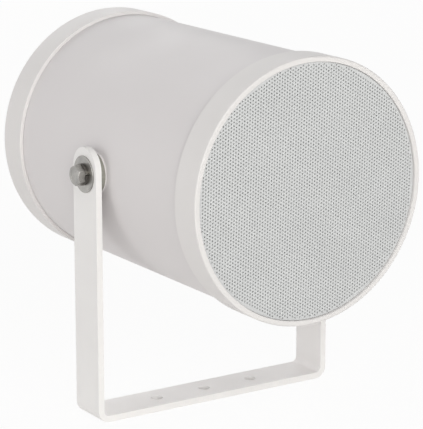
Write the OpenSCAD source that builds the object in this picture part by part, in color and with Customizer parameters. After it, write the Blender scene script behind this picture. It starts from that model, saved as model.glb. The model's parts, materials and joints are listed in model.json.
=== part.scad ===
// Bidirectional sound projector: a tube with a loudspeaker behind a perforated grille at each end, hung in a
// U-shaped flat bar bracket. Millimetres, +Z up, X along the pivot axis, the front grille faces -Y.
// The origin is the middle of the underside of the bracket's base.

/* [Tube] */
// Outside diameter of the moulded tube
body_d = 136; // [124:1:160]
// Wall thickness of the tube
body_wall = 3; // [2:0.5:5]
// Length over both end caps
speaker_l = 200; // [190:1:260]

/* [End caps] */
// How far a cap's outside stands proud of the tube
cap_step = 2; // [1:0.25:4]
// Depth of the cap's outer wall along the tube
cap_depth = 19; // [15:0.5:30]
// Width of the rim round the grille
rim_w = 2.9; // [2:0.1:5]
// Radius on the rim's outer edge
rim_round = 0.8; // [0.3:0.1:1.5]
// Radius on the rim's inner edge and on the cap's back edge
edge_round = 0.4; // [0.2:0.1:0.6]
// Gap between tube and cap walls
cap_fit = 0.1; // [0.05:0.05:0.4]
// Width of the ledge that the grille sits on
seat_w = 1.5; // [1:0.1:3]
// Depth of the air space behind the grille
pocket_depth = 6.2; // [6:0.1:12]
// Thickness of the web that the tube's end meets
web_t = 2.4; // [1.5:0.1:5]
// Depth of the plug inside the tube, below the web's top
plug_depth = 4; // [3:0.5:8]
// Wall thickness of the plug
plug_wall = 2.4; // [1.5:0.1:4]
// Thickness of the baffle that carries the loudspeaker
baffle_t = 4; // [3:0.5:8]
// Height of the screw bosses under the baffle
screw_boss_h = 5; // [3:0.5:9]

/* [Grilles] */
// How far the grille lies below the rim
grille_recess = 1.5; // [0.3:0.1:3]
// Thickness of the perforated sheet
grille_t = 1; // [0.6:0.1:2]
// Gap round the edge of the grille
grille_gap = 0.2; // [0.1:0.1:0.8]
// Width of the plain band round the holes
grille_margin = 1.2; // [0.8:0.1:6]
// Distance between hole centres, three times the real sheet's 1.8
grille_pitch = 5.4; // [4.8:0.1:14]
// Diameter of a hole, three times the real sheet's 1.0
grille_hole_d = 3; // [2:0.1:4]
// Turn of the hole pattern, in degrees
grille_turn = -1.7; // [-30:0.1:30]
// Thickness of the dust cloth behind the grille
cloth_t = 0.4; // [0.2:0.1:1]

/* [Bracket] */
// Width of the flat bar
bar_w = 24; // [18:1:40]
// Thickness of the flat bar
bar_t = 3.5; // [2.5:0.5:6]
// Inside radius of the two bends
bend_r = 3; // [2:0.5:8]
// Gap between a cap and the arm beside it
arm_gap = 1.5; // [1:0.1:10]
// Gap between the base and the corner of a cap as it swings past
swing_gap = 10; // [3:0.5:60]
// Height of the arm's rounded top above the pivot
arm_rise = 2.5; // [0:0.5:12]
// Diameter of the fixing holes in the base
base_hole_d = 6.5; // [4:0.5:9]
// Distance between the fixing holes
base_hole_pitch = 31; // [20:1:45]

/* [Pivot] */
// Diameter of the bolt's shank
bolt_d = 6; // [5:0.5:8]
// Length of the bolt's shank
bolt_l = 20; // [18:1:30]
// Width of the bolt's head across its flats
head_af = 10; // [8:0.5:14]
// Height of the bolt's head
head_h = 4; // [3:0.5:6]
// Radial running clearance round the shank
pivot_fit = 0.05; // [0.01:0.01:0.1]
// Diameter of the plain washer
washer_d = 20; // [14:1:24]
// Thickness of the plain washer
washer_t = 0.8; // [0.6:0.1:2]
// Outside diameter of the spring washer
spring_d = 11.8; // [10:0.1:14]
// Thickness of the spring washer
spring_t = 1.6; // [1:0.1:2.5]
// Thickness of the friction pad between arm and tube
pad_t = 3; // [0.8:0.1:3]
// Diameter of the boss that the pad lies on
boss_d = 22; // [18:1:32]
// Depth of the boss from its outer face
boss_l = 14; // [12:0.5:20]
// Outside diameter of the threaded insert
insert_d = 8.4; // [7.5:0.1:12]
// Length of the threaded insert
insert_l = 12; // [8:0.5:14]

/* [Loudspeakers] */
// Gap between the driver's frame and the cap
frame_gap = 4.5; // [2:0.5:8]
// Thickness of the frame's pressed steel
frame_t = 1.2; // [0.8:0.1:2]
// Width of the frame's flange
flange_w = 11; // [9:0.5:16]
// Gap between the frame and the hole in the baffle
cutout_gap = 0.8; // [0.3:0.1:2]
// Thickness of the gasket under the flange
gasket_t = 1.2; // [0.8:0.1:3]
// Depth of the frame, from the flange to its floor
basket_depth = 24.4; // [22:0.1:32]
// Width of the windows in the frame
window_w = 22; // [12:1:26]
// Radius of the surround's roll
roll_r = 3.2; // [2:0.1:5]
// Thickness of the surround
surround_t = 0.5; // [0.3:0.1:1]
// Width of the lip where the surround is glued
lip_w = 2.4; // [1.5:0.1:3]
// Thickness of the paper cone
cone_t = 0.6; // [0.4:0.1:1.2]
// Depth of the cone, from lip to neck
cone_depth = 17; // [15:0.5:19]
// Radius of the dust cap
dust_r = 17; // [15:0.5:20]
// Height of the dust cap
dust_h = 5; // [3:0.5:7]
// Diameter of the magnet
magnet_d = 60; // [50:1:72]
// Thickness of the magnet
magnet_t = 11; // [8:0.5:16]
// Thickness of the steel plates of the magnet
plate_t = 4; // [3:0.5:6]
// Diameter of the pole piece
pole_d = 24.4; // [20:0.2:28]
// Clearance each side of the moving coil
coil_gap = 0.35; // [0.3:0.05:0.6]
// Thickness of the coil's former
former_t = 0.3; // [0.2:0.05:0.5]
// Thickness of the coil's winding
winding_t = 0.35; // [0.2:0.05:0.6]
// Length of the coil's winding
winding_l = 8; // [5:0.5:9]
// Diameter of the driver's screws
screw_d = 3.2; // [2.5:0.1:4]
// Length of the driver's screws
screw_l = 10; // [8:0.5:12]

/* [Transformer] */
// Width of the core
core_w = 42; // [36:1:44]
// Height of the core
core_h = 35; // [30:1:42]
// Depth of the stack of laminations
core_d = 16; // [12:1:22]
// Width of an outer limb of the core
limb_w = 7; // [5:0.5:8]
// Wall thickness of the bobbin
bobbin_t = 1.2; // [0.8:0.1:2]
// How far the winding stands out of the core
coil_out = 7; // [4:0.5:9]
// Thickness of the strap that holds the core
strap_t = 1; // [0.8:0.1:2]
// Width of the strap
strap_w = 12; // [8:0.5:16]
// Length of the strap's feet
foot_l = 8; // [7:0.5:9]
// Gap between the ends of the strap's feet and the tube's curved wall
foot_gap = 1; // [0.5:0.1:3]
// Plastic left between the tip of a transformer screw's hole and the outside of the tube
screw_cover = 1.2; // [0.8:0.1:2]

/* [Wiring] */
// Length of the terminal block
block_l = 28; // [20:1:36]
// Depth of the terminal block
block_d = 14; // [10:1:18]
// Height of the terminal block
block_h = 12; // [8:1:18]
// Gap between the transformer and the terminal block
block_gap = 8; // [4:1:16]
// Distance of the cable's grommet from the speaker's rear end
grommet_inset = 42; // [36:1:46]
// Diameter of the cable's hole in the grommet
cable_hole_d = 6; // [4:0.5:9]
// Wall thickness of the grommet
grommet_wall = 2; // [1.5:0.1:3]

/* [Hidden] */
$fn = 64;
overcut = 1;

body_r = body_d / 2;
body_in_r = body_r - body_wall;
cap_r = body_r + cap_step;
half_l = speaker_l / 2;
swing_r = sqrt(pow(half_l, 2) + pow(cap_r, 2));
pivot_h = swing_r + swing_gap + bar_t;
arm_in = cap_r + arm_gap;
arm_out = arm_in + bar_t;

// Stations along the tube, counted outwards from its middle
rim_in_r = cap_r - rim_w;
grille_r = rim_in_r - grille_gap;
hole_field_r = grille_r - grille_margin;
grille_top = half_l - grille_recess;
grille_bottom = grille_top - grille_t;
pocket_r = rim_in_r - seat_w;
web_top = grille_bottom - pocket_depth;
web_bottom = web_top - web_t;
tube_end = web_bottom - cap_fit;
plug_out_r = body_in_r - cap_fit;
plug_in_r = plug_out_r - plug_wall;
baffle_top = web_top - plug_depth;
baffle_bottom = baffle_top - baffle_t;

flange_top = baffle_top + gasket_t + frame_t;
flange_bottom = flange_top - frame_t;
frame_r = plug_in_r - frame_gap;
mouth_r = frame_r - flange_w;
cutout_r = mouth_r + frame_t + cutout_gap;
screw_r = screw_d / 2;
screw_fit = 0.05;
screw_head_r = screw_d;
screw_head_h = 2;
screw_circle_r = frame_r - screw_head_r - 1;
floor_top = flange_top - basket_depth;
floor_bottom = floor_top - frame_t;
magnet_r = magnet_d / 2;
ledge_h = 3.2;
ledge_w = 5;
ledge_in_r = magnet_r - 2;
ledge_top = floor_top + ledge_h;

pole_r = pole_d / 2;
former_in_r = pole_r + coil_gap;
former_r = former_in_r + former_t;
winding_r = former_r + winding_t;
plate_hole_r = winding_r + coil_gap;
plate_bottom = floor_bottom - plate_t;
magnet_bottom = plate_bottom - magnet_t;
winding_mid = floor_bottom - plate_t / 2;

roll_out_r = mouth_r - 0.3;
roll_mid_r = roll_out_r - roll_r;
roll_in_r = roll_mid_r - roll_r;
cone_r = roll_in_r;
cone_lip_r = cone_r - lip_w;
cone_neck_r = former_r + 0.1;
cone_wall_w = cone_lip_r - cone_neck_r;
cone_slope_t = cone_t * norm([cone_wall_w, cone_depth]) / cone_wall_w;
neck_h = flange_top - cone_t - cone_depth;
former_top = neck_h + 2;
former_bottom = winding_mid - winding_l / 2 - 1;

foot_end = core_w / 2 + strap_t + foot_l;
mount_z = foot_gap - sqrt(pow(body_in_r, 2) - pow(foot_end, 2));
mount_rise = body_in_r + mount_z;
mount_l = core_d + 2 * coil_out + 2 * strap_t;
mount_w = 2 * (foot_end + 1);
foot_mid = foot_end - foot_l / 2;
mount_hole_l = sqrt(pow(body_r, 2) - pow(foot_mid + screw_r, 2)) + mount_z - screw_cover;
block_y = core_d / 2 + coil_out + bobbin_t + block_gap + block_d / 2;
block_pad_l = block_d + 4;
window_h = core_h - 2 * limb_w;
window_wide = core_w / 2 - 2 * limb_w;

boss_face = arm_in - pad_t;
washer_face = arm_out + washer_t;
head_face = washer_face + spring_t;
grommet_y = half_l - grommet_inset;
grommet_neck_r = cable_hole_d / 2 + grommet_wall;
grommet_lip = 2;
grommet_face = body_r + 0.6;

// Puts a shape drawn along +Z on the speaker's front, facing -Y
module on_front() {
    translate([0, 0, pivot_h]) rotate([90, 0, 0]) children();
}

// The same shape on the rear, turned round about the vertical
module on_rear() {
    translate([0, 0, pivot_h]) rotate([90, 0, 180]) children();
}

// Repeats a shape drawn along +X on both ends of the pivot axis
module on_both_sides() {
    for (turn = [0, 180])
        translate([0, 0, pivot_h]) rotate([0, 0, turn]) children();
}

// A ring or disc between two heights
module ring(outer, inner, low, high) {
    translate([0, 0, low]) difference() {
        cylinder(r = outer, h = high - low);
        if (inner > 0)
            translate([0, 0, -overcut]) cylinder(r = inner, h = high - low + 2 * overcut);
    }
}

// The same along the X axis
module ring_x(outer, inner, low, high) {
    rotate([0, 90, 0]) ring(outer, inner, low, high);
}

// Four places round the driver's flange
module at_screws() {
    for (turn = [45 : 90 : 315])
        rotate([0, 0, turn]) translate([screw_circle_r, 0, 0]) children();
}

module bracket() {
    color("whitesmoke") difference() {
        union() {
            rotate([90, 0, 0]) linear_extrude(bar_w, center = true) bracket_bend();
            for (side = [-1, 1])
                translate([side * (arm_in + bar_t / 2), 0, 0]) bracket_arm();
        }
        for (place = [-1 : 1])
            translate([place * base_hole_pitch, 0, -overcut])
                cylinder(d = base_hole_d, h = bar_t + 2 * overcut, $fn = 32);
        translate([-arm_out - overcut, 0, pivot_h]) rotate([0, 90, 0])
            cylinder(r = bolt_d / 2 + pivot_fit, h = 2 * (arm_out + overcut), $fn = 48);
    }
}

// Base and both bends, seen along the bar's width
module bracket_bend() {
    outer_r = bend_r + bar_t;
    translate([-arm_out + outer_r, 0]) square([2 * (arm_out - outer_r), bar_t]);
    for (side = [-1, 1])
        translate([side * (arm_out - outer_r), outer_r]) intersection() {
            difference() {
                circle(r = outer_r);
                circle(r = bend_r);
            }
            translate([side > 0 ? 0 : -outer_r, -outer_r]) square(outer_r);
        }
}

// One arm, from the end of its bend to its round top
module bracket_arm() {
    arm_foot = bend_r + bar_t;
    arm_top = pivot_h + arm_rise;
    rotate([90, 0, 90]) linear_extrude(bar_t, center = true) {
        translate([-bar_w / 2, arm_foot]) square([bar_w, arm_top - arm_foot]);
        translate([0, arm_top]) circle(d = bar_w);
    }
}

module body_tube() {
    color("white") difference() {
        union() {
            on_front() ring(body_r, body_in_r, -tube_end, tube_end);
            on_both_sides() ring_x(boss_d / 2, 0, boss_face - boss_l, boss_face);
            translate([0, 0, pivot_h]) intersection() {
                rotate([90, 0, 0]) cylinder(r = body_r - body_wall / 2, h = 2 * tube_end, center = true);
                inner_pads();
            }
            translate([0, grommet_y, pivot_h - grommet_face])
                cylinder(r = grommet_neck_r + grommet_lip + 1, h = grommet_face - body_in_r + 1);
        }
        on_both_sides() ring_x(insert_d / 2 + pivot_fit, 0, boss_face - boss_l - overcut, boss_face + overcut);
        translate([0, grommet_y, pivot_h - grommet_face - overcut])
            cylinder(r = grommet_neck_r + cap_fit, h = grommet_face - body_in_r + 1 + 2 * overcut);
        for (side = [-1, 1])
            translate([side * foot_mid, 0, pivot_h + mount_z - mount_hole_l])
                cylinder(r = screw_r + screw_fit, h = mount_hole_l + overcut, $fn = 32);
    }
}

// Flat blocks under the transformer and the terminal block, before they are trimmed to the tube
module inner_pads() {
    translate([-mount_w / 2, -mount_l / 2, mount_z - mount_rise - body_wall])
        cube([mount_w, mount_l, mount_rise + body_wall]);
    translate([-block_l / 2 - 2, block_y - block_pad_l / 2, mount_z - mount_rise - body_wall])
        cube([block_l + 4, block_pad_l, mount_rise + body_wall]);
}

// Outer wall, rim, grille ledge, plug and baffle of an end cap
module end_cap() {
    color("white") difference() {
        union() {
            rotate_extrude($fn = 96) cap_section();
            at_screws() translate([0, 0, baffle_bottom - screw_boss_h])
                cylinder(r = screw_r + 2.2, h = screw_boss_h + 1, $fn = 32);
        }
        at_screws() translate([0, 0, baffle_bottom - screw_boss_h - overcut])
            cylinder(r = screw_r + screw_fit, h = screw_boss_h + baffle_t + 2 * overcut, $fn = 32);
        translate([0, 0, baffle_bottom - screw_boss_h - overcut])
            cylinder(r = cutout_r, h = screw_boss_h + baffle_t + 2 * overcut);
    }
}

module cap_section() {
    cap_back = half_l - cap_depth;
    difference() {
        union() {
            translate([pocket_r, web_bottom]) square([cap_r - pocket_r, half_l - rim_round - web_bottom]);
            translate([pocket_r, web_bottom])
                square([rim_in_r + edge_round - pocket_r, half_l - edge_round - web_bottom]);
            translate([rim_in_r + edge_round, web_bottom])
                square([rim_w - rim_round - edge_round, half_l - web_bottom]);
            translate([rim_in_r + edge_round, half_l - edge_round]) circle(r = edge_round, $fn = 24);
            translate([cap_r - rim_round, half_l - rim_round]) circle(r = rim_round, $fn = 24);
            translate([cap_r - edge_round, cap_back + edge_round]) circle(r = edge_round, $fn = 24);
            translate([body_r + cap_fit, cap_back])
                square([cap_step - cap_fit - edge_round, web_top - cap_back]);
            translate([body_r + cap_fit, cap_back + edge_round])
                square([cap_step - cap_fit, web_top - cap_back - edge_round]);
            translate([plug_in_r, web_bottom]) square([cap_r - plug_in_r, web_t]);
            translate([plug_in_r, baffle_bottom]) square([plug_wall, web_top - baffle_bottom]);
            translate([cutout_r - 1, baffle_bottom]) square([plug_out_r - cutout_r + 1, baffle_t]);
        }
        translate([pocket_r - overcut, grille_bottom])
            square([rim_in_r - pocket_r + overcut, half_l - grille_bottom + overcut]);
    }
}

// Perforated sheet steel: rows of holes a pitch apart, every other column set half a pitch along
module grille() {
    column_gap = grille_pitch * cos(30);
    columns = floor(hole_field_r / column_gap);
    rows = ceil(hole_field_r / grille_pitch);
    reach = hole_field_r - grille_hole_d / 2;
    color("gainsboro") translate([0, 0, grille_bottom]) linear_extrude(grille_t) difference() {
        circle(r = grille_r, $fn = 96);
        rotate(grille_turn) for (column = [-columns : columns], row = [-rows : rows]) {
            x = column * column_gap;
            y = (row + (column % 2 == 0 ? 0 : 0.5)) * grille_pitch;
            if (norm([x, y]) <= reach) translate([x, y]) circle(d = grille_hole_d, $fn = 16);
        }
    }
}

module dust_cloth() {
    color("white") ring(pocket_r - cap_fit, 0, grille_bottom - cloth_t, grille_bottom);
}

module gasket() {
    color("dimgray") difference() {
        ring(frame_r, cutout_r, baffle_top, baffle_top + gasket_t);
        at_screws() cylinder(r = screw_r + 0.4, h = half_l, $fn = 32);
    }
}

// Pressed frame: flange, sloping wall with six windows, spider ledge and floor
module basket() {
    ledge_out_r = ledge_in_r + ledge_w;
    color("darkgray") difference() {
        rotate_extrude() polygon([
            [frame_r, flange_top], [frame_r, flange_bottom], [mouth_r + frame_t, flange_bottom],
            [ledge_out_r + frame_t, ledge_top - frame_t], [ledge_in_r + frame_t, ledge_top - frame_t],
            [ledge_in_r + frame_t, floor_bottom], [plate_hole_r + 1, floor_bottom],
            [plate_hole_r + 1, floor_top], [ledge_in_r, floor_top], [ledge_in_r, ledge_top],
            [ledge_out_r, ledge_top], [mouth_r, flange_top]]);
        for (turn = [0 : 60 : 300])
            rotate([0, 0, turn]) translate([ledge_out_r + frame_t, -window_w / 2, ledge_top + 1])
                cube([frame_r, window_w, flange_bottom - ledge_top - 4]);
        at_screws() cylinder(r = screw_r + 0.4, h = half_l, $fn = 32);
    }
}

// Paper cone with a glued lip and a slightly curved wall
module cone() {
    steps = 6;
    function wall_r(part) = cone_lip_r - cone_wall_w * part;
    function wall_z(part) = flange_top - cone_t - cone_depth * pow(part, 1.15);
    color("dimgray") rotate_extrude() polygon(concat(
        [[cone_r, flange_top], [cone_r, flange_top - cone_t]],
        [for (step = [0 : steps]) [wall_r(step / steps), wall_z(step / steps)]],
        [for (step = [steps : -1 : 1]) [wall_r(step / steps), wall_z(step / steps) + cone_slope_t]],
        [[cone_lip_r, flange_top]]));
}

// Domed cap glued over the neck of the cone
module dust_cap() {
    dome_r = (pow(dust_r, 2) + pow(dust_h, 2)) / (2 * dust_h);
    foot_part = (cone_lip_r - dust_r) / cone_wall_w;
    foot_z = flange_top - cone_t - cone_depth * pow(foot_part, 1.15) + cone_slope_t + 0.3;
    color("black") rotate_extrude() intersection() {
        translate([0, foot_z + dust_h - dome_r]) difference() {
            circle(r = dome_r, $fn = 96);
            circle(r = dome_r - cone_t, $fn = 96);
        }
        translate([0, foot_z]) square([dust_r, dust_h + 1]);
    }
}

// Half-round roll with a lip at each edge
module surround() {
    color("black") rotate_extrude() {
        translate([roll_mid_r, flange_top]) intersection() {
            difference() {
                circle(r = roll_r);
                circle(r = roll_r - surround_t);
            }
            translate([-roll_r, 0]) square([2 * roll_r, roll_r]);
        }
        translate([roll_out_r - surround_t / 2, flange_top]) square([lip_w, surround_t]);
        translate([roll_in_r - lip_w + surround_t / 2, flange_top]) square([lip_w, surround_t]);
    }
}

// Corrugated disc that centres the coil
module spider() {
    spider_t = 0.5;
    waves = 3;
    inner = former_r + 0.3;
    outer = ledge_in_r + ledge_w - 0.3;
    wave_l = (ledge_in_r - 1 - inner) / waves;
    steps = 4 * waves;
    function height(step) = ledge_top + 0.7 * (1 - cos(360 * step / 4));
    function radius(step) = inner + wave_l * step / 4;
    color("goldenrod") rotate_extrude() polygon(concat(
        [for (step = [0 : steps]) [radius(step), height(step)]],
        [[outer, ledge_top], [outer, ledge_top + spider_t]],
        [for (step = [steps : -1 : 0]) [radius(step), height(step) + spider_t]]));
}

module voice_coil() {
    color("peru") union() {
        ring(former_r, former_in_r, former_bottom, former_top);
        ring(winding_r, former_in_r, winding_mid - winding_l / 2, winding_mid + winding_l / 2);
    }
}

module top_plate() {
    color("silver") ring(magnet_r - 1, plate_hole_r, plate_bottom, floor_bottom);
}

module magnet() {
    color("dimgray") ring(magnet_r, plate_hole_r + 2, magnet_bottom, plate_bottom);
}

// Back plate with the pole piece that stands inside the coil
module pole_plate() {
    color("silver") union() {
        ring(magnet_r - 1, 0, magnet_bottom - plate_t, magnet_bottom);
        ring(pole_r, 0, magnet_bottom - 1, floor_bottom);
    }
}

// Tag board under the frame's ledge, with two solder tags
module terminals() {
    board_t = 1.6;
    board_l = 14;
    board_d = 8.5;
    tag_w = 2.5;
    tag_t = 0.6;
    tag_out = 4.5;
    board_low = ledge_top - frame_t - board_t;
    board_edge = -magnet_r - 0.4 - board_d;
    color("saddlebrown") union() {
        translate([-board_l / 2, board_edge, board_low]) cube([board_l, board_d, board_t]);
        for (side = [-1, 1])
            translate([side * board_l / 4 - tag_w / 2, board_edge - tag_out, board_low - tag_t + 0.1])
                cube([tag_w, 2 * tag_out, tag_t]);
    }
}

// Pan head screws through flange and gasket into the baffle's bosses
module driver_screws() {
    color("silver") at_screws() {
        translate([0, 0, flange_top - screw_l]) cylinder(r = screw_r, h = screw_l + 0.5, $fn = 32);
        translate([0, 0, flange_top]) pan_head();
    }
}

module pan_head() {
    difference() {
        union() {
            cylinder(r = screw_head_r, h = screw_head_h * 0.6, $fn = 32);
            translate([0, 0, screw_head_h * 0.6])
                cylinder(r1 = screw_head_r, r2 = screw_head_r * 0.6, h = screw_head_h * 0.4, $fn = 32);
        }
        for (turn = [0, 90])
            rotate([0, 0, turn]) translate([-screw_r, -screw_r / 4, screw_head_h * 0.4])
                cube([screw_d, screw_r / 2, screw_head_h]);
    }
}

// Places a shape on the moulded pad under the transformer
module on_mount() {
    translate([0, 0, pivot_h + mount_z]) children();
}

// Stack of laminations with a window each side of the middle limb
module transformer_core() {
    color("gray") on_mount() difference() {
        translate([-core_w / 2, -core_d / 2, 0]) cube([core_w, core_d, core_h]);
        for (side = [-1, 1])
            translate([side * (limb_w + window_wide / 2) - window_wide / 2, -core_d / 2 - overcut, limb_w])
                cube([window_wide, core_d + 2 * overcut, window_h]);
    }
}

module transformer_bobbin() {
    play = 0.1;
    side_out = limb_w + window_wide - play;
    depth_out = core_d / 2 + coil_out;
    color("ivory") on_mount() difference() {
        union() {
            for (low = [limb_w + play, limb_w + window_h - bobbin_t - play])
                translate([-side_out, -depth_out, low]) cube([2 * side_out, 2 * depth_out, bobbin_t]);
            translate([-limb_w - bobbin_t, -core_d / 2 - bobbin_t, limb_w + play])
                cube([2 * (limb_w + bobbin_t), core_d + 2 * bobbin_t, window_h - 2 * play]);
        }
        translate([-limb_w - play, -core_d / 2 - play, 0])
            cube([2 * (limb_w + play), core_d + 2 * play, core_h]);
    }
}

// Copper winding, taped, between the bobbin's flanges
module transformer_winding() {
    play = 0.1;
    side_out = limb_w + window_wide - 2 * play;
    depth_out = core_d / 2 + coil_out - 0.5;
    low = limb_w + bobbin_t + 2 * play;
    color("orange") on_mount() difference() {
        translate([-side_out, -depth_out, low])
            cube([2 * side_out, 2 * depth_out, window_h - 2 * bobbin_t - 4 * play]);
        translate([-limb_w - bobbin_t - play, -core_d / 2 - bobbin_t - play, 0])
            cube([2 * (limb_w + bobbin_t + play), core_d + 2 * (bobbin_t + play), core_h]);
    }
}

// Steel strap over the core, with a foot each side
module transformer_strap() {
    color("silver") on_mount() difference() {
        union() {
            translate([-core_w / 2 - strap_t, -strap_w / 2, 0])
                cube([core_w + 2 * strap_t, strap_w, core_h + strap_t]);
            translate([-core_w / 2 - strap_t - foot_l, -strap_w / 2, 0])
                cube([core_w + 2 * (strap_t + foot_l), strap_w, strap_t]);
        }
        translate([-core_w / 2, -strap_w / 2 - overcut, -overcut])
            cube([core_w, strap_w + 2 * overcut, core_h + overcut]);
        for (side = [-1, 1])
            translate([side * foot_mid, 0, -overcut])
                cylinder(r = screw_r + 0.2, h = strap_t + 2 * overcut, $fn = 32);
    }
}

module transformer_screws() {
    shank_l = mount_hole_l - 0.5;
    color("silver") on_mount() for (side = [-1, 1])
        translate([side * foot_mid, 0, strap_t]) {
            translate([0, 0, -shank_l]) cylinder(r = screw_r, h = shank_l + 0.5, $fn = 32);
            pan_head();
        }
}

// Three-way terminal block with a screw well and a wire hole at each way
module terminal_block() {
    ways = 3;
    way_l = block_l / ways;
    color("ivory") translate([0, block_y, pivot_h + mount_z]) difference() {
        translate([-block_l / 2, -block_d / 2, 0]) cube([block_l, block_d, block_h]);
        for (way = [0 : ways - 1])
            translate([(way + 0.5) * way_l - block_l / 2, 0, 0]) {
                translate([0, 0, block_h / 2]) cylinder(d = way_l / 2, h = block_h, $fn = 32);
                translate([0, block_d / 2 + overcut, block_h / 3]) rotate([90, 0, 0])
                    cylinder(d = way_l / 3, h = block_d + 2 * overcut, $fn = 32);
            }
        for (way = [1 : ways - 1])
            translate([way * way_l - block_l / 2 - 0.6, -block_d / 2 - overcut, block_h * 0.7])
                cube([1.2, block_d + 2 * overcut, block_h]);
    }
}

// Rubber grommet in the underside, for a cable to pass
module cable_grommet() {
    wall_top = grommet_face - body_in_r + 1;
    color("dimgray") translate([0, grommet_y, pivot_h - grommet_face]) rotate_extrude() polygon([
        [cable_hole_d / 2, -grommet_lip + 0.4], [cable_hole_d / 2 + 0.6, -grommet_lip],
        [grommet_neck_r + grommet_lip - 0.6, -grommet_lip * 0.8], [grommet_neck_r + grommet_lip, -0.6],
        [grommet_neck_r + grommet_lip, 0], [grommet_neck_r, 0], [grommet_neck_r, wall_top],
        [grommet_neck_r + 1.5, wall_top], [grommet_neck_r, wall_top + 2], [cable_hole_d / 2, wall_top + 2]]);
}

// Hexagon head with chamfered corners, on a plain shank with a pointed end
module pivot_bolt() {
    corner_r = head_af / 2 / cos(30);
    tip = 1;
    rotate([0, 90, 0]) union() {
        translate([0, 0, head_face - bolt_l + tip]) cylinder(d = bolt_d, h = bolt_l - tip + 0.5, $fn = 48);
        translate([0, 0, head_face - bolt_l])
            cylinder(r1 = bolt_d / 2 - tip, r2 = bolt_d / 2, h = tip, $fn = 48);
        translate([0, 0, head_face]) intersection() {
            cylinder(r = corner_r, h = head_h, $fn = 6);
            cylinder(r1 = corner_r + head_h, r2 = head_af / 2 * 0.96, h = head_h, $fn = 48);
        }
    }
}

module pivot_bolts() {
    color("silver") on_both_sides() pivot_bolt();
}

// Split ring under the bolt's head
module spring_washers() {
    split = 0.8;
    color("dimgray") on_both_sides() difference() {
        ring_x(spring_d / 2, bolt_d / 2 + 0.1, washer_face, head_face);
        rotate([-80, 0, 0]) translate([washer_face + spring_t / 2, 0, spring_d / 2])
            cube([2 * spring_t, split, spring_d], center = true);
    }
}

module plain_washers() {
    color("silver") on_both_sides() ring_x(washer_d / 2, bolt_d / 2 + 0.2, arm_out, washer_face);
}

// Fibre washers that the arms rub on
module pivot_pads() {
    color("dimgray") on_both_sides() ring_x(boss_d / 2, bolt_d / 2 + 0.2, boss_face, arm_in);
}

module threaded_inserts() {
    color("gold") on_both_sides() ring_x(insert_d / 2, bolt_d / 2 + pivot_fit, boss_face - insert_l, boss_face);
}

bracket();
body_tube();
on_front() end_cap();  // front_cap
on_rear() end_cap();  // rear_cap
on_front() grille();  // front_grille
on_rear() grille();  // rear_grille
on_front() dust_cloth();  // front_cloth
on_rear() dust_cloth();  // rear_cloth
on_front() gasket();  // front_gasket
on_rear() gasket();  // rear_gasket
on_front() basket();  // front_basket
on_rear() basket();  // rear_basket
on_front() cone();  // front_cone
on_rear() cone();  // rear_cone
on_front() dust_cap();  // front_dust_cap
on_rear() dust_cap();  // rear_dust_cap
on_front() surround();  // front_surround
on_rear() surround();  // rear_surround
on_front() spider();  // front_spider
on_rear() spider();  // rear_spider
on_front() voice_coil();  // front_voice_coil
on_rear() voice_coil();  // rear_voice_coil
on_front() top_plate();  // front_top_plate
on_rear() top_plate();  // rear_top_plate
on_front() magnet();  // front_magnet
on_rear() magnet();  // rear_magnet
on_front() pole_plate();  // front_pole_plate
on_rear() pole_plate();  // rear_pole_plate
on_front() terminals();  // front_terminals
on_rear() terminals();  // rear_terminals
on_front() driver_screws();  // front_driver_screws
on_rear() driver_screws();  // rear_driver_screws
transformer_core();
transformer_bobbin();
transformer_winding();
transformer_strap();
transformer_screws();
terminal_block();
cable_grommet();
pivot_bolts();
spring_washers();
plain_washers();
pivot_pads();
threaded_inserts();
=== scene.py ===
# Dresses the two-way tube loudspeaker in its bar bracket: paint, plastic, punched grilles and loudspeakers.
import json
import math

import bmesh
import bpy
from mathutils import Matrix, Vector


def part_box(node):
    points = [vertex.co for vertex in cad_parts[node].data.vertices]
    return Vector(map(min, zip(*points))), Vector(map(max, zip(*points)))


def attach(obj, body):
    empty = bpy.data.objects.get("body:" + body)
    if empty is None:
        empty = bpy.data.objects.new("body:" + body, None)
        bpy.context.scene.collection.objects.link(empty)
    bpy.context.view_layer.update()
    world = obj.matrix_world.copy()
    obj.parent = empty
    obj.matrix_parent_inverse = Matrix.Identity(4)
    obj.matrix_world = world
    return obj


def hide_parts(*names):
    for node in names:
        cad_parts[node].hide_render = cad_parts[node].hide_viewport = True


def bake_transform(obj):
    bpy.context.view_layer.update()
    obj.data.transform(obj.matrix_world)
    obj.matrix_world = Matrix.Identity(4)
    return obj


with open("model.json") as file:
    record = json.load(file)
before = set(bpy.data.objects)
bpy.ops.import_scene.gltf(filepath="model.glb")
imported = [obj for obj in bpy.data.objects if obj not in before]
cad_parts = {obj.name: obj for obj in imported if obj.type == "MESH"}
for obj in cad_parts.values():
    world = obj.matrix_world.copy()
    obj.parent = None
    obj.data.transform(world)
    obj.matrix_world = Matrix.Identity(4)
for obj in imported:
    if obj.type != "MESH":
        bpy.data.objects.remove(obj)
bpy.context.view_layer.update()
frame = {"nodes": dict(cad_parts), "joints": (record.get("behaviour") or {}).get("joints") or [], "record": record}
cadNodes = frame["nodes"]
pivot = Vector(next(joint["pos_m"] for joint in frame["joints"] if joint["name"] == "tilt"))
mm = 0.001
sides = {"front": -1, "rear": 1}  # which way along Y each loudspeaker looks
print("frame loaded,", len(cadNodes), "nodes, pivot at", round(pivot.z / mm, 2), "mm")


# How far a node reaches from the pivot, in millimetres: sideways, downwards, and to its two ends along Y
def measure(node):
    low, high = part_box(node)
    ends = sorted((abs(low.y - pivot.y), abs(high.y - pivot.y)))
    reach = {"side": max(high.x - pivot.x, pivot.x - low.x), "below": pivot.z - low.z,
             "near": ends[0], "far": ends[1]}
    return {name: round(value / mm, 3) for name, value in reach.items()}


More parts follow.
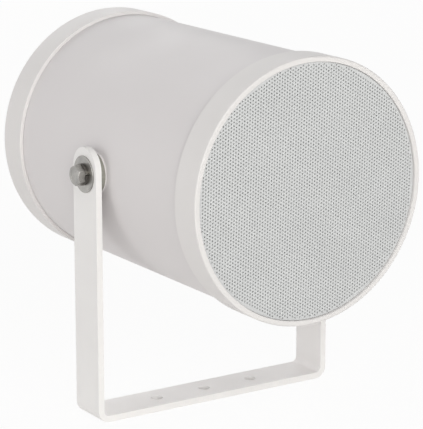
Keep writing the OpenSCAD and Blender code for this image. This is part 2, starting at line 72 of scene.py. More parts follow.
photoView = {
    "turn": -33.095,  # degrees round the upright axis
    "rise": 13.933,
    "distance": 1.16488,
    "right": 0.004119,  # how far the aim lies from the pivot, across and up the picture
    "up": -0.031112,
    "focalPixels": 2135.7,
    "longSide": 429,
}


def placeCamera():
    turn, rise = math.radians(photoView["turn"]), math.radians(photoView["rise"])
    back = Vector((math.sin(turn) * math.cos(rise), -math.cos(turn) * math.cos(rise), math.sin(rise)))
    right = Vector((math.cos(turn), math.sin(turn), 0))
    up = right.cross(-back)
    lens = bpy.data.cameras.new("photoCamera")
    lens.sensor_width = 36
    lens.lens = photoView["focalPixels"] * lens.sensor_width / photoView["longSide"]
    lens.clip_start, lens.clip_end = 0.05, 30
    camera = bpy.data.objects.new("photoCamera", lens)
    bpy.context.scene.collection.objects.link(camera)
    camera.matrix_world = Matrix((
        (right.x, up.x, back.x, 0), (right.y, up.y, back.y, 0), (right.z, up.z, back.z, 0), (0, 0, 0, 1)))
    camera.location = (pivot + back * photoView["distance"] + right * photoView["right"]
                       + up * photoView["up"])
    bpy.context.scene.camera = camera


placeCamera()
print("camera placed")


# A new material, with its shader and the Object coordinates that every pattern is laid out on
def startFinish(name):
    finish = bpy.data.materials.new(name)
    finish.use_nodes = True
    tree = finish.node_tree
    shader = tree.nodes["Principled BSDF"]
    place = tree.nodes.new("ShaderNodeTexCoord").outputs["Object"]
    return finish, tree, shader, place


def addNoise(tree, place, scale, detail=3.0, stretch=(1, 1, 1)):
    mapping = tree.nodes.new("ShaderNodeMapping")
    mapping.inputs["Scale"].default_value = stretch
    noise = tree.nodes.new("ShaderNodeTexNoise")
    noise.inputs["Scale"].default_value = scale
    noise.inputs["Detail"].default_value = detail
    tree.links.new(place, mapping.inputs["Vector"])
    tree.links.new(mapping.outputs["Vector"], noise.inputs["Vector"])
    return noise.outputs["Fac"]


def addStripes(tree, place, scale, direction="X", twist=0.0):
    wave = tree.nodes.new("ShaderNodeTexWave")
    wave.bands_direction = direction
    wave.inputs["Scale"].default_value = scale
    wave.inputs["Distortion"].default_value = twist
    wave.inputs["Detail Scale"].default_value = 2.0
    tree.links.new(place, wave.inputs["Vector"])
    return wave.outputs["Fac"]


def blendColours(tree, shader, fac, first, second, low=0.3, high=0.7):
    ramp = tree.nodes.new("ShaderNodeValToRGB")
    ramp.color_ramp.elements[0].position, ramp.color_ramp.elements[1].position = low, high
    ramp.color_ramp.elements[0].color, ramp.color_ramp.elements[1].color = (*first, 1), (*second, 1)
    tree.links.new(fac, ramp.inputs["Fac"])
    tree.links.new(ramp.outputs["Color"], shader.inputs["Base Color"])


def swingRoughness(tree, shader, fac, low, high):
    spread = tree.nodes.new("ShaderNodeMapRange")
    spread.inputs["From Min"].default_value, spread.inputs["From Max"].default_value = 0.3, 0.7
    spread.inputs["To Min"].default_value, spread.inputs["To Max"].default_value = low, high
    tree.links.new(fac, spread.inputs["Value"])
    tree.links.new(spread.outputs["Result"], shader.inputs["Roughness"])


def addBump(tree, shader, height, depth, strength=0.5):
    bump = tree.nodes.new("ShaderNodeBump")
    bump.inputs["Strength"].default_value = strength
    bump.inputs["Distance"].default_value = depth
    tree.links.new(height, bump.inputs["Height"])
    tree.links.new(bump.outputs["Normal"], shader.inputs["Normal"])


# Painted, moulded, plated or pressed: a cloudy colour, an uneven gloss and a fine grain
def makeFinish(name, look):
    finish, tree, shader, place = startFinish(name)
    cloud = addNoise(tree, place, look["cloud"], 4.0, look.get("stretch", (1, 1, 1)))
    blendColours(tree, shader, cloud, look["first"], look["second"])
    swingRoughness(tree, shader, addNoise(tree, place, look["cloud"] * 2.3), *look["rough"])
    if "stripes" in look:
        scale, direction, twist = look["stripes"]
        grain = addStripes(tree, place, scale, direction, twist)
    else:
        grain = addNoise(tree, place, look["grain"], 2.0, look.get("stretch", (1, 1, 1)))
    addBump(tree, shader, grain, look["depth"], look.get("strength", 0.5))
    shader.inputs["Metallic"].default_value = look.get("metal", 0.0)
    for socket, value in look.get("set", {}).items():
        shader.inputs[socket].default_value = value
    return finish


finishLooks = {
    "bracket_paint": {"first": (0.835, 0.815, 0.810), "second": (0.860, 0.842, 0.836), "cloud": 35,
                      "rough": (0.36, 0.46), "grain": 900, "depth": 0.00006, "strength": 0.30,
                      "set": {"Coat Weight": 0.08, "Coat Roughness": 0.35}},
    "case_plastic": {"first": (0.710, 0.680, 0.686), "second": (0.730, 0.700, 0.706), "cloud": 9,
                     "rough": (0.42, 0.52), "grain": 1500, "depth": 0.00004, "strength": 0.35},
    "cap_plastic": {"first": (0.745, 0.720, 0.716), "second": (0.765, 0.740, 0.736), "cloud": 14,
                    "rough": (0.42, 0.50), "grain": 1500, "depth": 0.00003, "strength": 0.12},
    "grille_paint": {"first": (0.590, 0.594, 0.602), "second": (0.615, 0.619, 0.627), "cloud": 40,
                     "rough": (0.40, 0.55), "grain": 1800, "depth": 0.00003, "strength": 0.3},
    "foam": {"first": (0.035, 0.035, 0.036), "second": (0.060, 0.060, 0.060), "cloud": 900,
             "rough": (0.85, 0.95), "grain": 2400, "depth": 0.00020, "strength": 0.8},
    "plated_steel": {"first": (0.52, 0.52, 0.50), "second": (0.64, 0.63, 0.60), "cloud": 160,
                     "rough": (0.25, 0.42), "grain": 1400, "depth": 0.00002, "metal": 1.0},
    "cone_paper": {"first": (0.030, 0.030, 0.031), "second": (0.065, 0.062, 0.060), "cloud": 260,
                   "rough": (0.72, 0.88), "grain": 1300, "depth": 0.00018, "strength": 0.7,
                   "stretch": (1, 0.35, 1)},
    "dust_cap_cloth": {"first": (0.022, 0.022, 0.023), "second": (0.040, 0.040, 0.042), "cloud": 500,
                       "rough": (0.55, 0.7), "grain": 2600, "depth": 0.00010, "strength": 0.7},
    "surround_rubber": {"first": (0.018, 0.018, 0.019), "second": (0.030, 0.030, 0.030), "cloud": 90,
                        "rough": (0.50, 0.66), "grain": 1600, "depth": 0.00004,
                        "set": {"Specular IOR Level": 0.4}},
    "spider_cloth": {"first": (0.42, 0.24, 0.075), "second": (0.56, 0.36, 0.14), "cloud": 420,
                     "rough": (0.75, 0.9), "grain": 2200, "depth": 0.00016, "strength": 0.8},
    "coil_copper": {"first": (0.48, 0.17, 0.070), "second": (0.66, 0.30, 0.14), "cloud": 300,
                    "rough": (0.22, 0.36), "stripes": (900, "Z", 0.4), "depth": 0.00015, "metal": 0.9},
    "ferrite": {"first": (0.040, 0.040, 0.042), "second": (0.075, 0.074, 0.074), "cloud": 240,
                "rough": (0.55, 0.75), "grain": 1500, "depth": 0.00012},
    "board": {"first": (0.19, 0.085, 0.035), "second": (0.27, 0.13, 0.055), "cloud": 320,
              "rough": (0.45, 0.6), "grain": 1700, "depth": 0.00005, "stretch": (0.2, 1, 1)},
    "screw_steel": {"first": (0.50, 0.50, 0.49), "second": (0.66, 0.65, 0.62), "cloud": 500,
                    "rough": (0.22, 0.36), "grain": 2400, "depth": 0.00002, "metal": 1.0},
    "core_steel": {"first": (0.12, 0.12, 0.125), "second": (0.24, 0.23, 0.22), "cloud": 120,
                   "rough": (0.4, 0.6), "stripes": (700, "Y", 0.3), "depth": 0.00025, "metal": 0.8,
                   "strength": 0.8},
    "bobbin_nylon": {"first": (0.66, 0.61, 0.48), "second": (0.72, 0.67, 0.55), "cloud": 60,
                     "rough": (0.35, 0.5), "grain": 1200, "depth": 0.00004,
                     "set": {"Subsurface Weight": 0.1, "Subsurface Radius": (0.002, 0.002, 0.001)}},
    "grommet_rubber": {"first": (0.016, 0.016, 0.017), "second": (0.032, 0.032, 0.032), "cloud": 140,
                       "rough": (0.5, 0.7), "grain": 1500, "depth": 0.00006},
    "bolt_steel": {"first": (0.315, 0.307, 0.295), "second": (0.440, 0.428, 0.405), "cloud": 260,
                   "rough": (0.26, 0.38), "grain": 1200, "depth": 0.00002, "metal": 1.0},
    "spring_steel": {"first": (0.10, 0.095, 0.09), "second": (0.20, 0.185, 0.17), "cloud": 300,
                     "rough": (0.25, 0.42), "grain": 1500, "depth": 0.00004, "metal": 1.0},
    "fibre": {"first": (0.25, 0.245, 0.215), "second": (0.29, 0.283, 0.250), "cloud": 420,
              "rough": (0.7, 0.85), "grain": 1900, "depth": 0.00008},
    "brass": {"first": (0.60, 0.42, 0.15), "second": (0.76, 0.56, 0.24), "cloud": 300,
              "rough": (0.22, 0.35), "stripes": (500, "X", 0.0), "depth": 0.00012, "metal": 1.0},
}
finishes = {name: makeFinish(name, look) for name, look in finishLooks.items()}


clothLook = {"first": (0.70, 0.71, 0.70), "second": (0.78, 0.79, 0.78), "threads": 2100, "waver": 0.6,
             "depth": 0.00012, "strength": 0.7, "rough": 0.9, "sheen": 0.2}


# Woven dust cloth: two sets of threads that cross
def makeClothFinish():
    look = clothLook
    finish, tree, shader, place = startFinish("dust_cloth")
    warp = addStripes(tree, place, look["threads"], "X", look["waver"])
    weft = addStripes(tree, place, look["threads"], "Z", look["waver"])
    weave = tree.nodes.new("ShaderNodeMath")
    weave.operation = "MULTIPLY"
    tree.links.new(warp, weave.inputs[0])
    tree.links.new(weft, weave.inputs[1])
    blendColours(tree, shader, weave.outputs[0], look["first"], look["second"], 0.1, 0.9)
    addBump(tree, shader, weave.outputs[0], look["depth"], look["strength"])
    shader.inputs["Roughness"].default_value = look["rough"]
    shader.inputs["Sheen Weight"].default_value = look["sheen"]
    return finish


finishes["dust_cloth"] = makeClothFinish()
slotOfNode = {part["node"]: part["material_slot"] for part in frame["record"]["subparts"]}
for nodeName, nodePiece in cadNodes.items():
    nodePiece.data.materials.clear()
    nodePiece.data.materials.append(finishes[slotOfNode[nodeName]])
print("finishes ready:", len(finishes))


def clearSelection():
    if bpy.context.mode != "OBJECT":
        bpy.ops.object.mode_set(mode="OBJECT")
    bpy.ops.object.select_all(action="DESELECT")


def selectOnly(*pieces):
    clearSelection()
    for piece in pieces:
        piece.select_set(True)
    bpy.context.view_layer.objects.active = pieces[0]


def workOn(piece):
    selectOnly(piece)
    bpy.ops.object.mode_set(mode="EDIT")
    bpy.ops.mesh.select_all(action="DESELECT")


def leaveEdit():
    bpy.ops.object.mode_set(mode="OBJECT")


# Selects the faces whose middle and normal pass the test
def pickFaces(piece, test):
    bpy.ops.mesh.select_mode(type="FACE")
    shape = bmesh.from_edit_mesh(piece.data)
    for face in shape.faces:
        face.select_set(bool(test(face.calc_center_median(), face.normal)))
    bmesh.update_edit_mesh(piece.data)


# Selects the edges whose two ends pass the test
def pickEdges(piece, test):
    bpy.ops.mesh.select_mode(type="EDGE")
    shape = bmesh.from_edit_mesh(piece.data)
    for edge in shape.edges:
        edge.select_set(bool(test(edge.verts[0].co, edge.verts[1].co)))
    bmesh.update_edit_mesh(piece.data)


# Moves a piece's place, turn and scale into its mesh
def settleInPlace(piece):
    selectOnly(piece)
    bpy.ops.object.transform_apply(location=True, rotation=True, scale=True)


def applyModifier(piece, kind, **settings):
    selectOnly(piece)
    modifier = piece.modifiers.new("step", kind)
    for name, value in settings.items():
        setattr(modifier, name, value)
    bpy.ops.object.modifier_apply(modifier=modifier.name)


# Cuts, joins or trims a piece with a second one, which is used up
def cutWith(piece, tool, how="DIFFERENCE"):
    applyModifier(piece, "BOOLEAN", operation=how, object=tool, solver="EXACT")
    bpy.data.objects.remove(tool)


# A round or many-sided rod between two points, narrowing or widening to the tip radius where one is given
def addRod(name, radius, low, high, corners=48, tip=None):
    axis = (high - low).normalized()
    turn = axis.to_track_quat("Z", "Y").to_euler()
    clearSelection()
    if tip is None:
        bpy.ops.mesh.primitive_cylinder_add(vertices=corners, radius=radius, depth=(high - low).length,
                                            location=(low + high) / 2, rotation=turn)
    else:
        bpy.ops.mesh.primitive_cone_add(vertices=corners, radius1=radius, radius2=tip,
                                        depth=(high - low).length, location=(low + high) / 2, rotation=turn)
    rod = bpy.context.active_object
    rod.name = rod.data.name = name
    settleInPlace(rod)
    return rod


def softenEdges(piece, width, segments=3, angle=40):
    applyModifier(piece, "BEVEL", width=width, segments=segments, limit_method="ANGLE",
                  angle_limit=math.radians(angle), use_clamp_overlap=True)


def shadeSmooth(piece, angle=35, weighted=False):
    selectOnly(piece)
    bpy.ops.object.shade_smooth_by_angle(angle=math.radians(angle))
    if weighted:
        applyModifier(piece, "WEIGHTED_NORMAL", keep_sharp=True, weight=60)


# Gives a piece its finish and hides the CAD node it stands for
def dressPiece(piece, slotName, node):
    piece.data.materials.clear()
    piece.data.materials.append(finishes[slotName])
    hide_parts(node)


def finishPiece(piece, slotName, body, node):
    dressPiece(piece, slotName, node)
    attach(piece, body)


# Points along an arc round (radius, height), from one angle to another in even steps
def arcPoints(radius, height, size, start, end, steps):
    angles = [math.radians(start + (end - start) * step / steps) for step in range(steps + 1)]
    return [(radius + size * math.cos(angle), height + size * math.sin(angle)) for angle in angles]


# Corner points of a ring's section with rounded edges, as (radius, distance along the axis)
def softRectangle(outer, inner, low, high, edge, steps=2):
    points = []
    corners = [(outer - edge, high - edge, 90), (inner + edge, high - edge, 180),
               (inner + edge, low + edge, 270), (outer - edge, low + edge, 360)]
    for radius, height, endAngle in corners:
        points += arcPoints(radius, height, edge, endAngle - 90, endAngle, steps)
    return points


# Points nearer to each other than this, in metres, are merged
mergeGap = 0.000004


# Turns an outline of (radius, distance along the axis), in millimetres, round an axis through the pivot.
# The outline starts in the outward direction, and an open one has its two ends on the axis.
def turnOnLathe(name, outline, along, steps=96, arc=360.0, closed=True, outward=(0, 0, 1)):
    along, outward = Vector(along), Vector(outward)
    clearSelection()
    bpy.ops.mesh.primitive_circle_add(vertices=len(outline), radius=0.01,
                                      fill_type="NGON" if arc < 360 else "NOTHING")
    piece = bpy.context.active_object
    piece.name = piece.data.name = name
    workOn(piece)
    shape = bmesh.from_edit_mesh(piece.data)
    shape.verts.ensure_lookup_table()
    for point, (radius, height) in zip(shape.verts, outline):
        point.co = pivot + along * height * mm + outward * radius * mm
    if not closed:
        ends = {shape.verts[0], shape.verts[len(outline) - 1]}
        for edge in list(shape.edges):
            if set(edge.verts) == ends:
                shape.edges.remove(edge)
    bmesh.update_edit_mesh(piece.data)
    bpy.ops.mesh.select_all(action="SELECT")
    bpy.ops.mesh.spin(steps=steps, angle=math.radians(arc), center=pivot, axis=along)
    bpy.ops.mesh.select_all(action="SELECT")
    bpy.ops.mesh.remove_doubles(threshold=mergeGap)
    bpy.ops.mesh.normals_make_consistent(inside=False)
    leaveEdit()
    return piece


bracketSize = {
    "barThick": 3.5,
    "bendInside": 3,  # inside radius of the two bends
    "bendSteps": 14,
    "armRise": 2.5,  # from the pivot up to the middle of the arm's round top
    "topSteps": 16,
    "boltHole": 3.05,  # radius of the hole for a pivot bolt
    "holeCorners": 40,
    "paintEdge": 0.5,  # how far the bar's edges are rounded
}
baseHoles = next(mount["dims"] for mount in frame["record"]["mounts"] if mount["name"] == "base_holes")


def makeBracket():
    bar = measure("bracket")
    armOutside, barWidth = bar["side"] * mm, 2 * bar["far"] * mm
    thick, bendInside = bracketSize["barThick"] * mm, bracketSize["bendInside"] * mm
    bendOutside = bendInside + thick
    bendX = armOutside - bendOutside
    armEnd = pivot.z + bracketSize["armRise"] * mm
    clearSelection()
    bpy.ops.mesh.primitive_cube_add(size=1, location=(0, 0, thick / 2), scale=(2 * bendX, barWidth, thick))
    bracket = bpy.context.active_object
    bracket.name = bracket.data.name = "bracketBar"
    settleInPlace(bracket)
    for side in (-1, 1):
        raiseArm(bracket, side, bendX, bendOutside, armEnd, barWidth, thick)
    corners = bracketSize["holeCorners"]
    for place in (-1, 0, 1):
        spot = Vector((place * baseHoles["spacing_x_mm"] / 2 * mm, 0, 0))
        below, above = spot - Vector((0, 0, thick / 2)), spot + Vector((0, 0, 1.5 * thick))
        cutWith(bracket, addRod("holeTool", baseHoles["hole_r_mm"] * mm, below, above, corners))
    for side in (-1, 1):
        inner = pivot + Vector((side * (armOutside - 1.5 * thick), 0, 0))
        outer = pivot + Vector((side * (armOutside + thick / 2), 0, 0))
        cutWith(bracket, addRod("holeTool", bracketSize["boltHole"] * mm, inner, outer, corners))
    softenEdges(bracket, bracketSize["paintEdge"] * mm, 3, 50)
    shadeSmooth(bracket, 40, weighted=True)
    finishPiece(bracket, "bracket_paint", "bracket", "bracket")


# One end of the bar is bent up round its bend, drawn out into the arm and rounded at the top
def raiseArm(bracket, side, bendX, bendOutside, armEnd, barWidth, thick):
    closeBy = 1e-5
    top = armEnd + barWidth / 2
    workOn(bracket)
    pickFaces(bracket, lambda middle, normal: normal.x * side > 0.9 and middle.z < thick)
    bpy.ops.mesh.spin(steps=bracketSize["bendSteps"], angle=math.radians(90),
                      center=(side * bendX, 0, bendOutside), axis=(0, side, 0))  # spin turns backwards
    bpy.ops.mesh.extrude_region_move(TRANSFORM_OT_translate={"value": (0, 0, armEnd - bendOutside)})
    bpy.ops.mesh.extrude_region_move(TRANSFORM_OT_translate={"value": (0, 0, barWidth / 2)})
    pickEdges(bracket, lambda one, two: one.x * side > 0 and abs(one.z - top) < closeBy
              and abs(two.z - top) < closeBy and abs(one.y - two.y) < closeBy)
    bpy.ops.mesh.bevel(offset=barWidth / 2 - 1e-6, segments=bracketSize["topSteps"], affect="EDGES")
    bpy.ops.mesh.select_all(action="SELECT")
    bpy.ops.mesh.remove_doubles(threshold=mergeGap)
    leaveEdit()


makeBracket()
print("bracket bent, drilled and softened")


pivotSize = {
    "boltRadius": 3,
    "boltLength": 20,
    "washerPlay": 0.2,  # between the shank and the plain washer's hole
    "washerEdge": 0.22,
    "springPlay": 0.1,
    "springEdge": 0.15,
    "springArc": 348.0,  # the rest of the turn is the spring washer's slit
    "springStart": 4,  # where the ring starts, in degrees up from level
    "chamferWide": 3.2,  # how much wider the cone that trims the head is at its foot
    "chamferTop": 0.96,  # the trimmed top's radius against half the flats
    "dishRadius": 3.4,
    "dishFlare": 4.0,
    "dishDepth": 0.35,
    "grip": 1,  # how far the shank runs into the head
    "tip": 1,  # length of the shank's tapered end
    "headEdge": 0.12,
}


def makePivotHardware():
    size = pivotSize
    armOutside = measure("bracket")["side"]
    washer, spring, bolt = measure("plain_washers"), measure("spring_washers"), measure("pivot_bolts")
    start = math.radians(size["springStart"])
    washers, springs, bolts = [], [], []
    for side in (-1, 1):
        along = (side, 0, 0)
        disc = softRectangle(washer["below"], size["boltRadius"] + size["washerPlay"], armOutside,
                             washer["side"], size["washerEdge"])
        washers.append(turnOnLathe("washer", disc, along))
        coil = softRectangle(spring["below"], size["boltRadius"] + size["springPlay"], washer["side"],
                             spring["side"], size["springEdge"])
        springs.append(turnOnLathe("spring", coil, along, 64, size["springArc"],
                                   outward=(0, side * math.cos(start), math.sin(start))))
        bolts.append(makeBolt(side, spring["side"], bolt["side"], bolt["far"]))
    for group, name, slotName, nodeName in ((washers, "plainWashers", "bolt_steel", "plain_washers"),
                                            (springs, "springWashers", "spring_steel", "spring_washers"),
                                            (bolts, "pivotBolts", "bolt_steel", "pivot_bolts")):
        selectOnly(*group)
        bpy.ops.object.join()
        group[0].name = group[0].data.name = name
        shadeSmooth(group[0], 32, weighted=True)
        finishPiece(group[0], slotName, "speaker", nodeName)


# A point on the pivot's axis, so many millimetres out to one side
def onPivot(side, out):
    return pivot + Vector((side, 0, 0)) * out * mm


# A hexagon head, trimmed to a cone and dished, on a round shank that tapers at its end
def makeBolt(side, headFace, headTop, halfFlats):
    size = pivotSize
    corner = halfFlats / math.cos(math.radians(30))
    shankEnd = headFace - size["boltLength"]
    head = addRod("bolt", corner * mm, onPivot(side, headFace), onPivot(side, headTop), 6)
    cutWith(head, addRod("chamferTool", (corner + size["chamferWide"]) * mm, onPivot(side, headFace - 0.01),
                         onPivot(side, headTop + 0.01), 64, halfFlats * size["chamferTop"] * mm), "INTERSECT")
    cutWith(head, addRod("dishTool", size["dishRadius"] * mm, onPivot(side, headTop - size["dishDepth"]),
                         onPivot(side, headTop + 0.5), 48, size["dishFlare"] * mm))
    shank = addRod("shank", size["boltRadius"] * mm, onPivot(side, shankEnd + size["tip"]),
                   onPivot(side, headFace + size["grip"]), 48)
    workOn(shank)
    pickFaces(shank, lambda middle, normal: normal.x * side < -0.9)
    bpy.ops.mesh.extrude_region_move(TRANSFORM_OT_translate={"value": (-side * size["tip"] * mm, 0, 0)})
    bpy.ops.transform.resize(value=(2 / 3,) * 3, center_override=onPivot(side, shankEnd))
    leaveEdit()
    cutWith(head, shank, "UNION")
    softenEdges(head, size["headEdge"] * mm, 2, 25)
    return head


makePivotHardware()
print("bolts, spring washers and washers made")


grilleSize = {
    "fieldRadius": 66.5,  # no hole reaches farther out than this
    "pitch": 1.8156,
    "holeRadius": 0.50,
    "holeCorners": 8,
    "edgeCorners": 192,
    "turn": -1.7,  # of the hole pattern, in degrees
}


# A row of copies, each one step on from the last
def repeatAlong(piece, count, step):
    applyModifier(piece, "ARRAY", count=count, use_relative_offset=False, use_constant_offset=True,
                  constant_offset_displace=step)


# Punches one column of holes, repeats it over the sheet, drops those past the field and fills between them
def punchSheet():
    plate = measure("front_grille")
    corners, pitch = grilleSize["holeCorners"], grilleSize["pitch"] * mm
    fieldRadius, holeRadius = grilleSize["fieldRadius"] * mm, grilleSize["holeRadius"] * mm
    gap = pitch * math.cos(math.radians(30))
    rows = int(fieldRadius / pitch)
    pairs = int(fieldRadius / gap) // 2 + 1
    clearSelection()
    bpy.ops.mesh.primitive_circle_add(vertices=corners, radius=holeRadius,
                                      location=(-2 * pairs * gap, -rows * pitch, 0),
                                      rotation=(0, 0, math.radians(180 / corners)))
    sheet = bpy.context.active_object
    settleInPlace(sheet)
    repeatAlong(sheet, 2 * rows + 1, (0, pitch, 0))
    repeatAlong(sheet, 2, (gap, pitch / 2, 0))
    repeatAlong(sheet, 2 * pairs + 1, (2 * gap, 0, 0))
    workOn(sheet)
    bpy.ops.mesh.select_mode(type="VERT")
    shape = bmesh.from_edit_mesh(sheet.data)
    points = list(shape.verts)
    for start in range(0, len(points), corners):
        hole = points[start:start + corners]
        middle = sum((point.co for point in hole), Vector()) / corners
        if middle.length > fieldRadius - holeRadius:
            for point in hole:
                point.select_set(True)
    bmesh.update_edit_mesh(sheet.data)
    bpy.ops.mesh.delete(type="VERT")
    bpy.ops.mesh.primitive_circle_add(vertices=grilleSize["edgeCorners"], radius=plate["side"] * mm)
    bpy.ops.mesh.select_all(action="SELECT")
    bpy.ops.mesh.fill(use_beauty=False)
    bpy.ops.mesh.select_all(action="SELECT")
    thick = (plate["far"] - plate["near"]) * mm
    bpy.ops.mesh.extrude_region_move(TRANSFORM_OT_translate={"value": (0, 0, thick)})
    bpy.ops.mesh.select_all(action="SELECT")
    bpy.ops.mesh.normals_make_consistent(inside=False)
    leaveEdit()
    return sheet


# One punched sheet, copied to both ends and turned to face outwards
def makeGrilles():
    sheet = punchSheet()
    for side, way in sides.items():
        clearSelection()
        grille = sheet.copy()
        grille.data = sheet.data.copy()
        bpy.context.scene.collection.objects.link(grille)
        grille.name = grille.data.name = side + "GrilleSheet"
        lift = Matrix.Translation((0, 0, measure(side + "_grille")["near"] * mm))
        pattern = Matrix.Rotation(math.radians(grilleSize["turn"]), 4, "Z")
        turn = Matrix.Rotation(math.radians(90), 4, "X") @ pattern @ lift
        if way > 0:
            turn = Matrix.Rotation(math.radians(180), 4, "Z") @ turn
        grille.matrix_world = Matrix.Translation(pivot) @ turn
        settleInPlace(grille)
        finishPiece(grille, "grille_paint", "speaker", side + "_grille")
        makeCloth(side, way)
    bpy.data.objects.remove(sheet)


clothSize = {"rings": 12, "gap": 0.02}  # the gap lies between cloth and sheet


def makeCloth(side, way):
    disc = measure(side + "_cloth")
    low, high = disc["near"], disc["far"] - clothSize["gap"]
    radii = [disc["side"] * ring / clothSize["rings"] for ring in range(clothSize["rings"] + 1)]
    outline = [(radius, high) for radius in radii] + [(radius, low) for radius in reversed(radii)]
    cloth = turnOnLathe(side + "Cloth", outline, (0, way, 0), 96, closed=False)
    shadeSmooth(cloth, 40)
    finishPiece(cloth, "dust_cloth", "speaker", side + "_cloth")


makeGrilles()
print("grilles punched, cloths stretched")


surroundSize = {
    "roll": 3.2,  # outside radius of the half round
    "thick": 0.5,
    "lip": 2.4,
    "steps": 120,
}
spiderSize = {
    "inner": 13.15,
    "waves": 3,
    "waveSteps": 8,
    "waveEnd": 27.0,  # the waves end here and the flat rim begins
    "waveHeight": 1.4,
    "thick": 0.5,
}


# A surround or spider, which in the loudspeaker joins the cone to the frame: it gets its finish, its CAD node is
# hidden and its place is baked into its mesh, but it hangs on no body
def hangBetween(piece, slotName, node):
    dressPiece(piece, slotName, node)
    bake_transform(piece)


# The surround is a half round of rubber with a flat lip on each side
def makeSurround(side, way):
    size = surroundSize
    ring = measure(side + "_surround")
    rollOut = ring["side"] - size["lip"] + size["thick"] / 2
    rollMiddle = rollOut - size["roll"]
    rollIn = rollMiddle - size["roll"]
    low, high = ring["near"], ring["near"] + size["thick"]
    lipOut, lipIn = rollOut + size["lip"], rollIn - size["lip"] + size["thick"] / 2
    over = arcPoints(rollMiddle, low, size["roll"], 10, 170, 10)
    under = arcPoints(rollMiddle, low, size["roll"] - size["thick"], 180, 0, 12)
    outline = [(lipOut, low), (lipOut, high)] + over + [(lipIn, high), (lipIn, low)] + under
    surround = turnOnLathe(side + "Roll", outline, (0, way, 0), size["steps"])
    shadeSmooth(surround, 50)
    hangBetween(surround, "surround_rubber", side + "_surround")


# The spider is a disc of dipped cloth, pressed into round waves, with a flat rim
def makeSpider(side, way):
    size = spiderSize
    disc = measure(side + "_spider")
    steps = size["waves"] * size["waveSteps"]
    waves = []
    for step in range(steps + 1):
        radius = size["inner"] + (size["waveEnd"] - size["inner"]) * step / steps
        rise = size["waveHeight"] / 2 * (1 - math.cos(2 * math.pi * step / size["waveSteps"]))
        waves.append((radius, disc["near"] + rise))
    upper = [(radius, height + size["thick"]) for radius, height in reversed(waves)]
    rim = [(disc["side"], disc["near"]), (disc["side"], disc["near"] + size["thick"])]
    spider = turnOnLathe(side + "Spider", waves + rim + upper, (0, way, 0), 96)
    shadeSmooth(spider, 50)
    hangBetween(spider, "spider_cloth", side + "_spider")


for sideName, sideWay in sides.items():
    makeSurround(sideName, sideWay)
    makeSpider(sideName, sideWay)
print("surrounds and spiders turned")


stageLook = {
    "floorSize": 12,
    "floorDrop": 0.0002,  # the floor lies this far under the bracket
    "floorColour": (0.95, 0.94, 0.92),
    "floorRough": 0.9,
    "floorShine": 0.1,
    "whiteShare": 0.93,  # of plain white in what the camera sees of the floor; the rest keeps the shadow
    "skyLow": 0.75,  # strength of the light from the horizon
    "skyHigh": 0.24,  # and from straight above
}
lamps = {
    "frontSoft": {"from": (-0.7, -2.4, 1.25), "size": 1.8, "power": 31, "tint": (0.992, 1.0, 0.96)},
    "leftSoft": {"from": (-2.0, 0.8, 0.25), "size": 1.0, "power": 5.5, "tint": (1.0, 0.99, 1.0)},
    "lowSoft": {"from": (-1.2, -1.9, 0.15), "size": 1.2, "power": 12, "tint": (0.992, 1.0, 0.96)},
    "backSoft": {"from": (0.5, 2.4, 1.1), "size": 1.8, "power": 12, "tint": (1.0, 1.0, 0.99)},
    "rightSoft": {"from": (2.2, 0.3, 0.8), "size": 1.4, "power": 5, "tint": (1.0, 1.0, 1.0)},
}


# 1 where the camera, a shiny surface or a clear one looks, and 0 where light only bounces
def addLooking(tree):
    seen = tree.nodes.new("ShaderNodeLightPath")
    looking = seen.outputs["Is Camera Ray"]
    for kind in ("Is Glossy Ray", "Is Transmission Ray"):
        either = tree.nodes.new("ShaderNodeMath")
        either.operation = "MAXIMUM"
        tree.links.new(looking, either.inputs[0])
        tree.links.new(seen.outputs[kind], either.inputs[1])
        looking = either.outputs[0]
    return looking


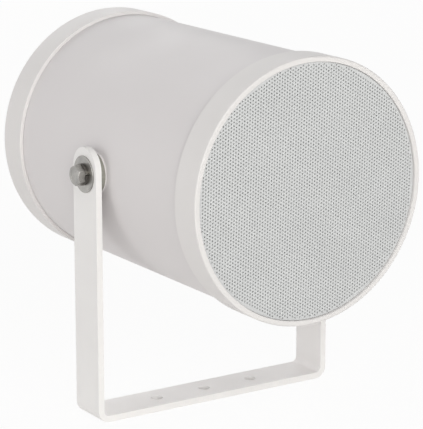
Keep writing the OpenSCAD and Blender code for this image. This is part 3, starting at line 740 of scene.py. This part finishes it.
def makeFloor():
    clearSelection()
    bpy.ops.mesh.primitive_plane_add(size=stageLook["floorSize"], location=(0, 0, -stageLook["floorDrop"]))
    floor = bpy.context.active_object
    floor.name = "floor"
    settleInPlace(floor)
    finish, tree, shader, place = startFinish("paperFloor")
    shader.inputs["Roughness"].default_value = stageLook["floorRough"]
    shader.inputs["Specular IOR Level"].default_value = stageLook["floorShine"]
    cloud = addNoise(tree, place, 3)
    tone = stageLook["floorColour"]
    blendColours(tree, shader, cloud, tone, tuple(value * 1.01 for value in tone))
    glow = tree.nodes.new("ShaderNodeEmission")
    share = tree.nodes.new("ShaderNodeMath")
    share.operation = "MULTIPLY"
    share.inputs[1].default_value = stageLook["whiteShare"]
    mix = tree.nodes.new("ShaderNodeMixShader")
    tree.links.new(addLooking(tree), share.inputs[0])
    tree.links.new(share.outputs[0], mix.inputs["Fac"])
    tree.links.new(shader.outputs[0], mix.inputs[1])
    tree.links.new(glow.outputs[0], mix.inputs[2])
    tree.links.new(mix.outputs[0], tree.nodes["Material Output"].inputs["Surface"])
    floor.data.materials.append(finish)


def hangLamps():
    for name, look in lamps.items():
        lamp = bpy.data.lights.new(name, "AREA")
        lamp.size, lamp.energy, lamp.color = look["size"], look["power"], look["tint"]
        holder = bpy.data.objects.new(name, lamp)
        bpy.context.scene.collection.objects.link(holder)
        holder.location = look["from"]
        holder.rotation_euler = (pivot - Vector(look["from"])).to_track_quat("-Z", "Y").to_euler()


# Light comes mostly from low down all round, while the camera and shiny metal see plain white
def lightRoom():
    world = bpy.data.worlds.new("softRoom")
    bpy.context.scene.world = world
    world.use_nodes = True
    tree = world.node_tree
    sky = tree.nodes["Background"]
    sky.inputs["Color"].default_value = (1, 1, 1, 1)
    place = tree.nodes.new("ShaderNodeTexCoord")
    parts = tree.nodes.new("ShaderNodeSeparateXYZ")
    height = tree.nodes.new("ShaderNodeMapRange")
    height.inputs["To Min"].default_value = stageLook["skyLow"]
    height.inputs["To Max"].default_value = stageLook["skyHigh"]
    tree.links.new(place.outputs["Generated"], parts.inputs[0])
    tree.links.new(parts.outputs["Z"], height.inputs["Value"])
    strength = tree.nodes.new("ShaderNodeMapRange")
    tree.links.new(height.outputs["Result"], strength.inputs["To Min"])
    strength.inputs["To Max"].default_value = 1.0
    tree.links.new(addLooking(tree), strength.inputs["Value"])
    tree.links.new(strength.outputs["Result"], sky.inputs["Strength"])


makeFloor()
hangLamps()
lightRoom()
bpy.context.scene.view_settings.view_transform = "Standard"
print("floor and lamps set")

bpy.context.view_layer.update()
clearSelection()
